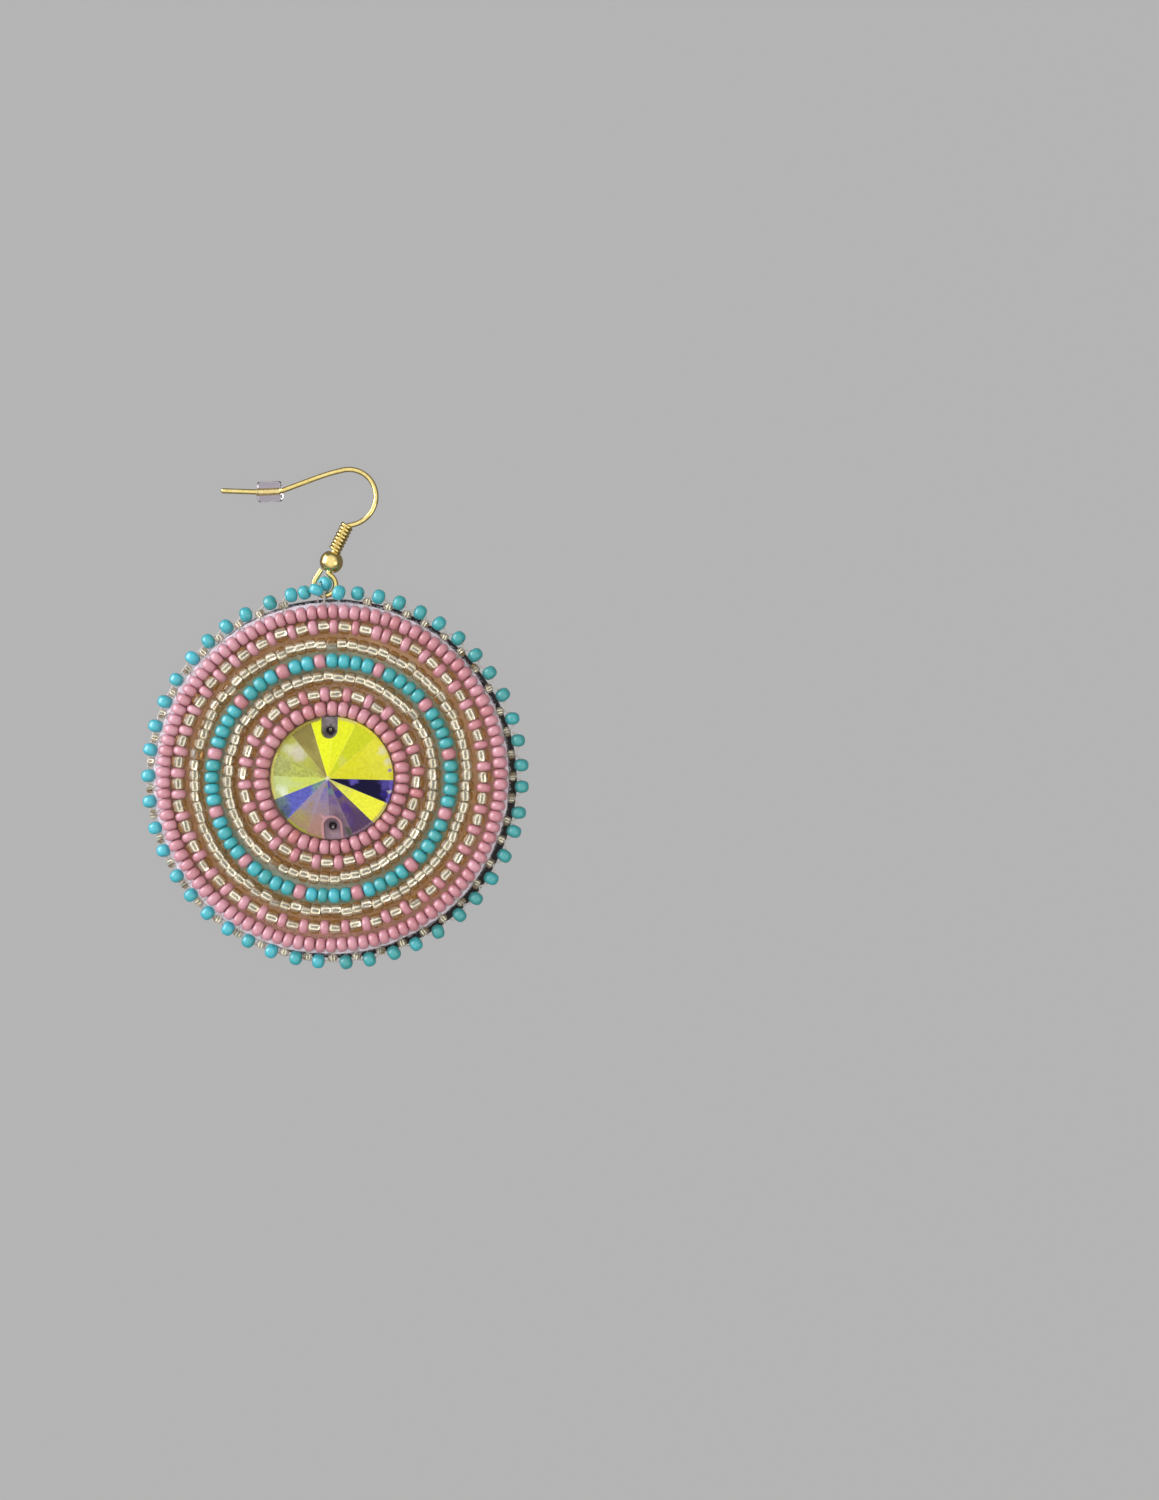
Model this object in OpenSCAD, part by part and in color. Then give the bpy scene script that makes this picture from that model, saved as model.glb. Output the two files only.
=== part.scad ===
// Beaded disc earring lying face up: a faceted centre stone, seven rings of seed beads sewn to felt
// on a suede back, a picot edge, and an ear wire held by one bead on a loop of thread.
// The origin is the middle of the suede's back, +Z is the side that faces out, +Y points to the hook.

/* [Disc] */
// Diameter of the suede back
backing_d = 52.4; // [51.6:0.1:52.4]
// Thickness of the suede back
backing_t = 1.1; // [1:0.05:1.2]
// Diameter of the stiff felt that the beads are sewn to
foundation_d = 51.2; // [50.8:0.1:51.4]
// Thickness of the felt
foundation_t = 1.0; // [0.8:0.1:1.1]

/* [Bead rings] */
// Diameter of a seed bead
bead_d = 2.1; // [1.8:0.05:2.15]
// Radius of the ring next to the stone, to the bead centres
first_row_r = 10.05; // [10:0.05:10.1]
// Distance from one ring to the next
row_pitch = 2.36; // [2.3:0.02:2.36]

/* [Centre stone] */
// Width of the stone
stone_d = 17.8; // [17:0.1:17.8]
// Height of the stone's point above its flat back
stone_h = 5.0; // [3.5:0.1:6]
// Number of pie-shaped facets
stone_facets = 16; // [8:2:20]
// Width of the two pockets that the stone is sewn down through
pocket_w = 2.4; // [1.6:0.1:2.6]
// Diameter of the sewing holes
sewing_hole_d = 1.2; // [0.8:0.1:1.4]

/* [Picot edge] */
// Radius of the ring of picot beads, to the bead centres
picot_r = 27.0; // [26.95:0.05:27.3]
// Height of the picot beads' centres above the suede's back
picot_z = 2.0; // [1.95:0.05:2.1]

/* [Ear hook] */
// Diameter of the ear wire
wire_d = 0.75; // [0.7:0.01:0.8]
// Height of the ear wire's plane, which lies as high as the ball lets it
hook_z = 1.7; // [1.7:0.05:1.9]
// Bend radius of the eye
eye_r = 1.6; // [1.58:0.01:1.62]
// Diameter of the ball
ball_d = 3.36; // [3.2:0.02:3.4]
// Height of the ball between its flat ends
ball_h = 2.8; // [2.6:0.05:2.8]
// Outer diameter of the wound coil
coil_d = 1.95; // [1.9:0.01:2]
// Diameter of the coil's own wire
coil_wire_d = 0.48; // [0.44:0.01:0.5]
// Number of turns in the coil
coil_turns = 7.5; // [5:0.5:7.5]
// Length of the free end that goes through the ear
tip_l = 5.0; // [3:0.1:10]

/* [Stopper] */
// Outer diameter of the clear stopper
stopper_d = 2.95; // [2.4:0.05:3.2]
// Length of the stopper
stopper_l = 3.5; // [3.4:0.05:3.55]

/* [Hidden] */

$fn = 64;
eps = 0.01;
gap = 0.05;
joint_extra = 0.01;

pink = "#cf8c97";
gold_glass = "#b89a58";
turquoise = "#3fb2b5";
plated = "#d9b54a";

// Heights of the layers
foundation_z = backing_t + gap;
face_z = foundation_z + foundation_t + gap;
row_z = face_z + bead_d / 2;
row_colours = [pink, pink, gold_glass, turquoise, gold_glass, pink, pink];

// Rings of the stone's outline, from its flat back up: [radius, height]
stone_outline = [
    [stone_d / 2 - 0.25, 0],
    [stone_d / 2, 0.3],
    [stone_d / 2, 1.1],
    [stone_d / 2 - 0.55, 1.45]
];
stone_turn = -2;
stone_steps = 5;        // straight stretches of the girdle in each facet
pocket_z = 0.9;
sewing_r = 6.9;
pocket_turns = [92, 271];

// The picot edge: a band of upright beads inside the round picots, on the suede that reaches past
// the felt, open at the top for the eye
band_r = foundation_d / 2 + 0.15;
band_h = 1.6;
edge_start = 97.5;
edge_turn = 349;

// Thread through the loop bead and over the eye, seen from the side, from inside the disc's edge out
// and back. Each row is [bend radius, or 0 for a straight run; length, or degrees to the left].
thread_d = 0.3;
thread_x = -1.25;
thread_start = [24.3, 0.93, 0];
thread_moves = [
    [0, 3.6],
    [0.4, 90],
    [0, 1.25],
    [0.4, 102],
    [0, 2.36],
    [0.35, 78],
    [0, 1]
];
groove_w = 0.5;
groove_d = 0.35;
groove_l = 2.4;
stitch_hole_d = 0.4;
loop_bead_d = 2.0;
loop_bead_h = 1.5;
loop_bead_bore = 0.8;
loop_bead_z = 1.9;

// Ear wire from the eye's cut end to the free tip, seen from above, in rows as the thread's
hook_start = [-1.83, 30.4, 238.5];
hook_moves = [
    [0, 1.6],            // cut end, beside the ball
    [eye_r, 260],        // eye
    [0, 0.4],
    [0.5, -64],          // into the ball
    [0, 2.84],           // through the ball
    [2, -11],
    [0, 3.65],           // through the coil
    [0.6, -57.5],        // out of the coil
    [4.35, 68],          // lower bend
    [3.95, 118.5],       // upper bend
    [30, 8],
    [0, 5.1],            // slope down to the stopper
    [2.2, -18],          // kink in the stopper
    [0, 2.05],
    [12, -4.5],
    [0, tip_l]           // free tip
];
moves_to_ball = 4;
moves_to_coil = 6;
moves_to_stopper = 13;
stopper_shift = 1.25;  // from the kink to the stopper's middle
ball_bore_d = 1.0;
coil_start = -0.08;
coil_pitch = coil_wire_d + 0.06;
coil_sides = 6;
coil_steps = 14;
stopper_gap = 0.03;

// Side of a turn: 1 to the left, -1 to the right
function side_of(amount) = amount < 0 ? -1 : 1;

// Step along one move from a heading, as [x, y]
function step(move, heading) =
    move[0] == 0
        ? move[1] * [cos(heading), sin(heading)]
        : side_of(move[1]) * move[0]
            * [sin(heading + move[1]) - sin(heading), cos(heading) - cos(heading + move[1])];

// Place and heading after the first count moves, as [x, y, heading]
function pose_after(moves, count, pose, i = 0) =
    i == count
        ? pose
        : let (moved = step(moves[i], pose[2]), turned = moves[i][0] == 0 ? 0 : moves[i][1])
            pose_after(moves, count, [pose[0] + moved[0], pose[1] + moved[1], pose[2] + turned], i + 1);

// One move's stretch of wire, from the origin towards +X
module wire_piece(move, d) {
    if (move[0] == 0)
        rotate([0, 90, 0]) cylinder(d = d, h = move[1]);
    else
        translate([0, side_of(move[1]) * move[0], 0])
            rotate([0, 0, move[1] > 0 ? -90 : 90 + move[1]])
                rotate_extrude(angle = abs(move[1])) translate([move[0], 0]) circle(d = d);
}

// Wire laid along the moves from a starting pose, its stretches end to end. A ball a hair wider than
// the wire, with its poles inside the wire, closes each joint and rounds the far end.
module wire_run(moves, d, start) {
    for (i = [0:len(moves)]) {
        pose = pose_after(moves, i, start);
        translate([pose[0], pose[1], 0])
            rotate([0, 0, pose[2]]) {
                if (i > 0) rotate([0, 90, 0]) rotate([0, 0, 45]) sphere(d = d + joint_extra);
                if (i < len(moves)) wire_piece(moves[i], d);
            }
    }
}

// Children set in the hook's plane after the first count moves, with +X along the wire
module on_wire(count) {
    pose = pose_after(hook_moves, count, hook_start);
    translate([pose[0], pose[1], hook_z]) rotate([0, 0, pose[2]]) children();
}

// Bead with flat ends and a bore, standing on Z about its centre
module drilled_bead(d, h, bore) {
    difference() {
        intersection() {
            sphere(d = d);
            cube([2 * d, 2 * d, h], center = true);
        }
        cylinder(d = bore, h = h + 2 * eps, center = true);
    }
}

// Suede back, with a short groove in its inner side for the hanging thread
module backing() {
    color("#1d1b1c")
        difference() {
            cylinder(d = backing_d, h = backing_t);
            translate([thread_x - groove_w / 2, backing_d / 2 - groove_l, backing_t - groove_d])
                cube([groove_w, groove_l + eps, groove_d + eps]);
        }
}

// Stiff felt with the stitch hole that the hanging thread goes down through
module foundation() {
    thread_end = pose_after(thread_moves, len(thread_moves), thread_start);
    color("#e6dee6")
        difference() {
            translate([0, 0, foundation_z]) cylinder(d = foundation_d, h = foundation_t);
            translate([thread_x, thread_end[0], foundation_z - eps])
                cylinder(d = stitch_hole_d, h = foundation_t + 2 * eps);
        }
}

// Cone of flat facets on a round bevelled girdle. Each facet's outer edge dips between its two ridges.
module cut_stone() {
    count = stone_facets * stone_steps;
    rings = len(stone_outline);
    bevel = rings - 2;
    half_facet = 180 / stone_facets;
    function dip(k) = cos(k % stone_steps * 360 / count - half_facet) / cos(half_facet);
    function height(ring, k) = ring > bevel
        ? stone_h - (stone_h - stone_outline[ring][1]) * dip(k)
        : stone_outline[ring][1];
    function corner(ring, k) = ring * count + k % count;
    points = concat(
        [for (ring = [0:rings - 1], k = [0:count - 1])
            let (turn = k * 360 / count + stone_turn, r = stone_outline[ring][0])
                [r * cos(turn), r * sin(turn), height(ring, k)]],
        [[0, 0, stone_h]]
    );
    back = [[for (k = [0:count - 1]) k]];
    walls = [for (ring = [0:bevel - 1], k = [0:count - 1])
        [corner(ring, k), corner(ring + 1, k), corner(ring + 1, k + 1), corner(ring, k + 1)]];
    bevels = [for (k = [0:count - 1], half = [0, 1])
        half == 0
            ? [corner(bevel, k), corner(bevel + 1, k), corner(bevel + 1, k + 1)]
            : [corner(bevel, k), corner(bevel + 1, k + 1), corner(bevel, k + 1)]];
    facets = [for (first = [0:stone_steps:count - 1])
        [rings * count, for (k = [stone_steps:-1:0]) corner(rings - 1, first + k)]];
    polyhedron(points, concat(back, walls, bevels, facets));
}

// Pocket with a round inner end, open at the stone's rim, and its sewing hole, along +X
module sewing_pocket() {
    translate([sewing_r, 0, pocket_z]) {
        cylinder(d = pocket_w, h = stone_h);
        translate([0, -pocket_w / 2, 0]) cube([stone_d / 2, pocket_w, stone_h]);
    }
    translate([sewing_r, 0, -eps]) cylinder(d = sewing_hole_d, h = stone_h);
}

// Centre stone
module stone() {
    color("#b9c23c")
        translate([0, 0, face_z])
            difference() {
                cut_stone();
                for (turn = pocket_turns) rotate([0, 0, turn]) sewing_pocket();
            }
}

// One ring of seed beads, as the tube that they fill
module bead_row(row) {
    color(row_colours[row - 1])
        translate([0, 0, row_z])
            rotate_extrude() translate([first_row_r + (row - 1) * row_pitch, 0]) circle(d = bead_d);
}

// Picot edge, as the round tube of the picots and the flat band of the beads that they stand on
module edge_beads() {
    color(turquoise)
        translate([0, 0, picot_z])
            rotate([0, 0, edge_start])
                rotate_extrude(angle = edge_turn) {
                    translate([picot_r, 0]) circle(d = bead_d);
                    translate([band_r, -band_h / 2]) square([picot_r - band_r, band_h]);
                }
}

// Bead that stands inside the eye, its bore square to the disc
module loop_bead() {
    bead = pose_after(thread_moves, 2, thread_start);
    color(turquoise)
        translate([thread_x, bead[0], loop_bead_z])
            drilled_bead(loop_bead_d, loop_bead_h, loop_bead_bore);
}

// Thread that holds the eye to the disc
module hanger_thread() {
    color("#cfcac2")
        rotate([90, 0, 90])
            translate([0, 0, thread_x]) wire_run(thread_moves, thread_d, thread_start);
}

// Ear wire
module ear_hook() {
    color(plated) translate([0, 0, hook_z]) wire_run(hook_moves, wire_d, hook_start);
}

// Ball on the wire, just above the eye
module hook_ball() {
    color(plated)
        on_wire(moves_to_ball)
            translate([ball_h / 2, 0, 0]) rotate([0, 90, 0]) drilled_bead(ball_d, ball_h, ball_bore_d);
}

// Coil wound round the shank, rising from right to left over its front
module hook_coil() {
    winding_r = (coil_d - coil_wire_d) / 2;
    steps = round(coil_turns * coil_steps);
    lead = atan(coil_pitch / (360 * winding_r * PI / 180));
    points = [for (i = [0:steps], k = [0:coil_sides - 1])
        let (
            turn = i * 360 / coil_steps,
            side = k * 360 / coil_sides,
            out = winding_r + coil_wire_d / 2 * cos(side),
            along = coil_pitch * i / coil_steps + coil_wire_d / 2 * sin(side) * cos(lead)
        )
            [along, -out * cos(turn), out * sin(turn)]];
    walls = [for (i = [0:steps - 1], k = [0:coil_sides - 1])
        let (here = i * coil_sides, ahead = here + coil_sides, next = (k + 1) % coil_sides)
            [here + k, here + next, ahead + next, ahead + k]];
    start_cap = [[for (k = [coil_sides - 1:-1:0]) k]];
    end_cap = [[for (k = [0:coil_sides - 1]) steps * coil_sides + k]];
    color(plated)
        on_wire(moves_to_coil)
            translate([coil_start, 0, 0]) polyhedron(points, concat(walls, start_cap, end_cap));
}

// Clear stopper pushed over the kink in the wire
module ear_wire_stopper() {
    color("#d8d4e4", 0.5)
        difference() {
            on_wire(moves_to_stopper)
                translate([stopper_shift, 0, 0])
                    rotate([0, 90, 0]) cylinder(d = stopper_d, h = stopper_l, center = true);
            translate([0, 0, hook_z]) wire_run(hook_moves, wire_d + 2 * stopper_gap, hook_start);
        }
}

backing();
foundation();
stone();
for (row = [1:7]) bead_row(row);
edge_beads();
loop_bead();
hanger_thread();
ear_hook();
hook_ball();
hook_coil();
ear_wire_stopper();
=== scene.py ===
import math
import random

import bpy
import numpy as np
from mathutils import Euler, Matrix, Vector


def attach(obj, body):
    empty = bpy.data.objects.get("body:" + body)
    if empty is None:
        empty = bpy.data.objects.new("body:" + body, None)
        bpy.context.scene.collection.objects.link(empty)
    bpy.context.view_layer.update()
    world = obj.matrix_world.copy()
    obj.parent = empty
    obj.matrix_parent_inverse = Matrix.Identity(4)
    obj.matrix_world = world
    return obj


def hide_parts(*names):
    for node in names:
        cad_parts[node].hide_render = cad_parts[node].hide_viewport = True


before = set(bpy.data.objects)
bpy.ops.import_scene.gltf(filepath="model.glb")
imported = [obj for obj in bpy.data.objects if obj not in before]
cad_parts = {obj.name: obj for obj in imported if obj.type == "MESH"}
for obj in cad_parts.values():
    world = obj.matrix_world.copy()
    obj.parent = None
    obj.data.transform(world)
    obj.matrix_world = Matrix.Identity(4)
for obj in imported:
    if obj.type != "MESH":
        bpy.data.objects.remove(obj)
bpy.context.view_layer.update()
mm = 0.001

# Camera straight above its aim, which is right of the earring, sizes in mm
cameraView = {"aim": (35.9, 4.06), "beadPlane": 3.25, "distance": 227.8, "lens": 37.7, "sensor": 36.0}

# A cool window low on the left, whose glare shows in gloss alone, a weak lamp on the right and a bright
# ceiling over a dim room. The floor is dimmer in the metal and through the glass than to the eye, and
# the camera sees the room in the floor's colour. Sizes are in mm.
studio = {
    "window": {"at": (-400, 170, 190), "size": (460, 330), "watts": 2.1, "colour": (0.95, 0.91, 1.0)},
    "glare": {"at": (-400, 170, 190), "size": (380, 300), "watts": 3.4, "colour": (0.97, 0.94, 1.0),
              "glossOnly": True},
    "rightLamp": {"at": (420, -160, 330), "size": (220, 220), "watts": 0.4, "colour": (1.0, 0.98, 0.94)},
    "ceiling": (1.22, 1.19, 1.14),
    "walls": (0.17, 0.17, 0.18),
    "wallsEnd": (0.25, 0.75),  # shares of the room's height between which walls turn into ceiling
    "floorGlow": (0.447, 0.447, 0.447),
    "floorThroughGlass": (0.36, 0.325, 0.37),
    "floorInGloss": (0.20, 0.18, 0.17),
    "floorPaint": (0.008, 0.008, 0.008),
    "floorSize": 1600,
    "floorLevel": -0.04,  # just clear of the suede
}


def makeCamera():
    camera = bpy.data.cameras.new("camera")
    camera.lens, camera.sensor_width, camera.sensor_fit = cameraView["lens"], cameraView["sensor"], "AUTO"
    camera.clip_start, camera.clip_end = 10 * mm, 10
    holder = bpy.data.objects.new("camera", camera)
    x, y = cameraView["aim"]
    holder.location = (x * mm, y * mm, (cameraView["beadPlane"] + cameraView["distance"]) * mm)
    bpy.context.scene.collection.objects.link(holder)
    bpy.context.scene.camera = holder
    bpy.context.scene.view_settings.view_transform = "Standard"


def makeLamp(name, lamp):
    light = bpy.data.lights.new(name, "AREA")
    light.shape = "RECTANGLE"
    light.size, light.size_y = lamp["size"][0] * mm, lamp["size"][1] * mm
    light.energy, light.color = lamp["watts"], lamp["colour"]
    holder = bpy.data.objects.new(name, light)
    holder.location = Vector(lamp["at"]) * mm
    holder.rotation_euler = (-holder.location).to_track_quat("-Z", "Y").to_euler()
    if lamp.get("glossOnly"):
        holder.visible_diffuse = holder.visible_transmission = False
    bpy.context.scene.collection.objects.link(holder)


def asSocketValue(value):
    # three numbers are a colour, which the sockets take with a fourth
    return (*value, 1) if isinstance(value, tuple) and len(value) == 3 else value


def addNode(tree, kind, inputs=None, **settings):
    node = tree.nodes.new(kind)
    for key, value in settings.items():
        setattr(node, key, value)
    for key, value in (inputs or {}).items():
        if isinstance(value, bpy.types.NodeSocket):
            tree.links.new(value, node.inputs[key])
        else:
            node.inputs[key].default_value = asSocketValue(value)
    return node


def calc(tree, operation, *values):
    return addNode(tree, "ShaderNodeMath", dict(enumerate(values)), operation=operation).outputs[0]


def vectorCalc(tree, operation, *values):
    return addNode(tree, "ShaderNodeVectorMath", dict(enumerate(values)), operation=operation).outputs


def spread(tree, value, low, high, start=0.0, end=1.0):
    return addNode(tree, "ShaderNodeMapRange", {0: value, 1: low, 2: high, 3: start, 4: end}).outputs[0]


def blend(tree, share, first, second, way="MIX"):
    return addNode(tree, "ShaderNodeMix", {0: share, 6: first, 7: second}, data_type="RGBA",
                   blend_type=way).outputs[2]


def objectPlace(tree):
    return addNode(tree, "ShaderNodeTexCoord").outputs["Object"]


def beadField(tree, name):
    # a number that each bead's points carry
    return addNode(tree, "ShaderNodeAttribute", attribute_name=name).outputs["Fac"]


def noise(tree, place, scale, detail, distortion=0.0):
    return addNode(tree, "ShaderNodeTexNoise", {"Vector": place, "Scale": scale, "Detail": detail,
                                                "Distortion": distortion}).outputs


def makeRoom():
    world = bpy.data.worlds.new("room")
    world.use_nodes = True
    tree = world.node_tree
    tree.nodes.clear()
    place = addNode(tree, "ShaderNodeTexCoord").outputs["Generated"]
    parts = addNode(tree, "ShaderNodeSeparateXYZ", {0: place}).outputs
    height = spread(tree, parts["Z"], *studio["wallsEnd"])
    light = blend(tree, height, studio["walls"], studio["ceiling"])
    seen = addNode(tree, "ShaderNodeLightPath").outputs["Is Camera Ray"]
    sky = addNode(tree, "ShaderNodeBackground", {0: blend(tree, seen, light, studio["floorGlow"])})
    addNode(tree, "ShaderNodeOutputWorld", {0: sky.outputs[0]})
    bpy.context.scene.world = world
    for name in ("window", "glare", "rightLamp"):
        makeLamp(name, studio[name])


makeCamera()
makeRoom()
print("camera and lights are up")


# Shared effects, each a node group that puts out colours, roughness or a height
noiseRange = (0.3, 0.7)  # what a cloud noise mostly stays between


def startGroup(name, inputs, outputs):
    group = bpy.data.node_groups.new(name, "ShaderNodeTree")
    for label, value in inputs.items():
        kind = {tuple: "Color", Vector: "Vector"}.get(type(value), "Float")
        socket = group.interface.new_socket(name=label, in_out="INPUT", socket_type="NodeSocket" + kind)
        socket.default_value = asSocketValue(value)
    for label, kind in outputs.items():
        group.interface.new_socket(name=label, in_out="OUTPUT", socket_type="NodeSocket" + kind)
    return group, group.nodes.new("NodeGroupInput").outputs, group.nodes.new("NodeGroupOutput").inputs


def makeGrainGroup():
    # cloudy variation between two values, and its height for a bump
    group, given, out = startGroup(
        "cloudyGrain", {"Scale": 2000.0, "Detail": 3.0, "Low": 0.1, "High": 0.3},
        {"Value": "Float", "Height": "Float"})
    cloud = noise(group, objectPlace(group), given["Scale"], given["Detail"])["Fac"]
    value = spread(group, cloud, *noiseRange, given["Low"], given["High"])
    group.links.new(value, out["Value"])
    group.links.new(cloud, out["Height"])
    return group


def makeToneGroup():
    # each bead's tone, from deep to pale, with a faint cloud inside it, and on glazes a painted window
    # light
    group, given, out = startGroup(
        "beadTone", {"Usual": (0.5, 0.5, 0.5), "Pale": (0.7, 0.7, 0.7), "Deep": (0.3, 0.3, 0.3),
                     "Cloud": 0.25, "Scale": 2200.0}, {"Colour": "Color"})
    cloud = noise(group, objectPlace(group), given["Scale"], detail=3.0)["Fac"]
    swing = spread(group, cloud, *noiseRange, -1.0, 1.0)
    swung = calc(group, "MULTIPLY_ADD", swing, given["Cloud"], beadField(group, "toneAndPaintedLight"))
    paler = blend(group, swung, given["Usual"], given["Pale"])
    deeper = blend(group, calc(group, "MULTIPLY", swung, -1.0), paler, given["Deep"])
    group.links.new(deeper, out["Colour"])
    return group


# Matted fibres: turns of the two layers, how a layer is stretched, and where its noise turns to colour
fibreLook = {"turns": (0.4, 2.1), "stretch": (1.0, 0.25, 0.7), "between": (0.42, 0.72), "wobble": 0.8}


def makeFibreGroup():
    # two stretched noises laid across each other, as a colour and a height
    group, given, out = startGroup(
        "fibres", {"Scale": 3000.0, "Light": (0.8, 0.8, 0.8), "Dark": (0.5, 0.5, 0.5)},
        {"Colour": "Color", "Height": "Float"})
    place = objectPlace(group)
    layers = []
    for turn in fibreLook["turns"]:
        laid = addNode(group, "ShaderNodeMapping", {"Vector": place, "Rotation": Euler((0, 0, turn)),
                                                    "Scale": Vector(fibreLook["stretch"])}).outputs[0]
        layers.append(noise(group, laid, given["Scale"], detail=4.0, distortion=fibreLook["wobble"])["Fac"])
    height = spread(group, calc(group, "MAXIMUM", *layers), *fibreLook["between"])
    group.links.new(blend(group, height, given["Dark"], given["Light"]), out["Colour"])
    group.links.new(height, out["Height"])
    return group


grain, beadTone, fibres = makeGrainGroup(), makeToneGroup(), makeFibreGroup()


def newMaterial(name, **sockets):
    material = bpy.data.materials.new(name)
    material.use_nodes = True
    tree = material.node_tree
    shader = tree.nodes["Principled BSDF"].inputs
    for label, value in sockets.items():
        shader[label.replace("_", " ")].default_value = asSocketValue(value)
    return material, tree, shader


def useGroup(tree, group, **inputs):
    return addNode(tree, "ShaderNodeGroup", inputs, node_tree=group).outputs


def wander(tree, **inputs):
    # a value that drifts between Low and High
    return useGroup(tree, grain, **inputs)["Value"]


def bumpFrom(tree, height, strength, depth):
    sockets = {"Strength": strength, "Distance": depth * mm, "Height": height}
    return addNode(tree, "ShaderNodeBump", sockets).outputs[0]


def feed(tree, shader, **sources):
    for label, source in sources.items():
        tree.links.new(source, shader[label.replace("_", " ")])


# Tones of each finish: its usual colour, a pale one and a deep one
tones = {
    "pinkGlaze": {"Usual": (0.50, 0.21, 0.245), "Pale": (0.60, 0.30, 0.36), "Deep": (0.48, 0.165, 0.165)},
    "turquoiseGlaze": {"Usual": (0.045, 0.38, 0.41), "Pale": (0.065, 0.48, 0.60),
                       "Deep": (0.045, 0.31, 0.31)},
    "silverLining": {"Usual": (0.86, 0.83, 0.70), "Pale": (0.96, 0.94, 0.85), "Deep": (0.74, 0.65, 0.44)},
    "goldPlate": {"Usual": (0.76, 0.62, 0.24), "Pale": (0.83, 0.73, 0.37), "Deep": (0.63, 0.48, 0.15)},
    "clearSilicone": {"Usual": (0.96, 0.94, 0.97), "Pale": (0.99, 0.98, 0.99), "Deep": (0.92, 0.88, 0.94)},
}


def glazeMaterial(name):
    material, tree, shader = newMaterial(name, Coat_Weight=0.35, Coat_Roughness=0.16, IOR=1.5)
    colour = useGroup(tree, beadTone, Cloud=0.3, **tones[name])
    rough = wander(tree, Scale=2500.0, Low=0.28, High=0.42)
    dimple = useGroup(tree, grain, Scale=1200.0, Detail=1.0)
    feed(tree, shader, Base_Color=colour["Colour"], Roughness=rough,
         Normal=bumpFrom(tree, dimple["Height"], strength=0.35, depth=0.05))
    return material


# Silver-lined beads: amber over the lining and aside from it, and the slot's reach each way
amberLook = {"over": (0.98, 0.94, 0.80), "aside": (0.62, 0.34, 0.10), "turnsFrom": (0.42, 0.78)}
slotLook = {"across": 0.36, "along": 0.5, "fade": 0.16,
            "black": (0.02, 0.02, 0.01), "dullSlot": (0.20, 0.17, 0.08)}


def amberMaterial():
    # pale where the eye looks down on the lining, deep amber through the sides
    material, tree, shader = newMaterial("amberGlass", Transmission_Weight=0.8, IOR=1.5)
    cloud = wander(tree, Scale=1500.0, Low=-0.12, High=0.12)
    outward = calc(tree, "ADD", beadField(tree, "side"), cloud)
    share = spread(tree, outward, *amberLook["turnsFrom"])
    colour = blend(tree, share, amberLook["over"], amberLook["aside"])
    rough = wander(tree, Scale=2600.0, Low=0.02, High=0.07)
    feed(tree, shader, Base_Color=colour, Roughness=rough)
    return material


def liningMaterial():
    # bright foil frame round a dark slot on each side of the square hole, black or dull brown by bead
    material, tree, shader = newMaterial("silverLining", Metallic=1.0)
    ragged = wander(tree, Scale=4200.0, Low=-0.16, High=0.16)
    masks = []
    for name in ("across", "along"):
        reach = calc(tree, "ADD", calc(tree, "ABSOLUTE", beadField(tree, name)), ragged)
        masks.append(spread(tree, reach, slotLook[name], slotLook[name] + slotLook["fade"], 1.0, 0.0))
    foil = useGroup(tree, beadTone, Cloud=0.5, **tones["silverLining"])
    dullSlot = spread(tree, beadField(tree, "toneAndPaintedLight"), 0.0, 1.0)
    slot = blend(tree, dullSlot, slotLook["black"], slotLook["dullSlot"])
    colour = blend(tree, calc(tree, "MULTIPLY", *masks), foil["Colour"], slot)
    rough = wander(tree, Scale=3000.0, Low=0.18, High=0.4)
    feed(tree, shader, Base_Color=colour, Roughness=rough)
    return material


def plateMaterial():
    material, tree, shader = newMaterial("goldPlate", Metallic=1.0)
    colour = useGroup(tree, beadTone, Cloud=0.7, **tones["goldPlate"])
    rough = wander(tree, Scale=1500.0, Low=0.12, High=0.24)
    scratch = useGroup(tree, fibres, Scale=7000.0)
    feed(tree, shader, Base_Color=colour["Colour"], Roughness=rough,
         Normal=bumpFrom(tree, scratch["Height"], strength=0.12, depth=0.01))
    return material


def siliconeMaterial():
    material, tree, shader = newMaterial("clearSilicone", Transmission_Weight=1.0, IOR=1.45)
    colour = useGroup(tree, beadTone, Cloud=0.5, **tones["clearSilicone"])
    rough = wander(tree, Scale=1600.0, Low=0.0, High=0.03)
    feed(tree, shader, Base_Color=colour["Colour"], Roughness=rough)
    return material


def nylonMaterial():
    material, tree, shader = newMaterial("paleNylon", Transmission_Weight=0.3, IOR=1.5)
    laid = useGroup(tree, fibres, Scale=9000.0, Light=(0.88, 0.86, 0.83), Dark=(0.55, 0.50, 0.46))
    rough = wander(tree, Scale=6000.0, Low=0.2, High=0.4)
    feed(tree, shader, Base_Color=laid["Colour"], Roughness=rough)
    return material


def ringColours(tree, stops):
    # colours by distance from the middle in mm, each fading into the next
    flat = vectorCalc(tree, "MULTIPLY", objectPlace(tree), Vector((1, 1, 0)))["Vector"]
    out = vectorCalc(tree, "LENGTH", flat)["Value"]
    last = stops[-1][0]
    ramp = addNode(tree, "ShaderNodeValToRGB", {0: calc(tree, "DIVIDE", out, last * mm)})
    spots = ramp.color_ramp.elements
    spots[0].position, spots[1].position = stops[0][0] / last, 1.0
    for radius, _ in stops[1:-1]:
        spots.new(radius / last)
    for spot, (_, colour) in zip(spots, stops):
        spot.color = (*colour, 1)
    return ramp.outputs["Color"]


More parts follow.
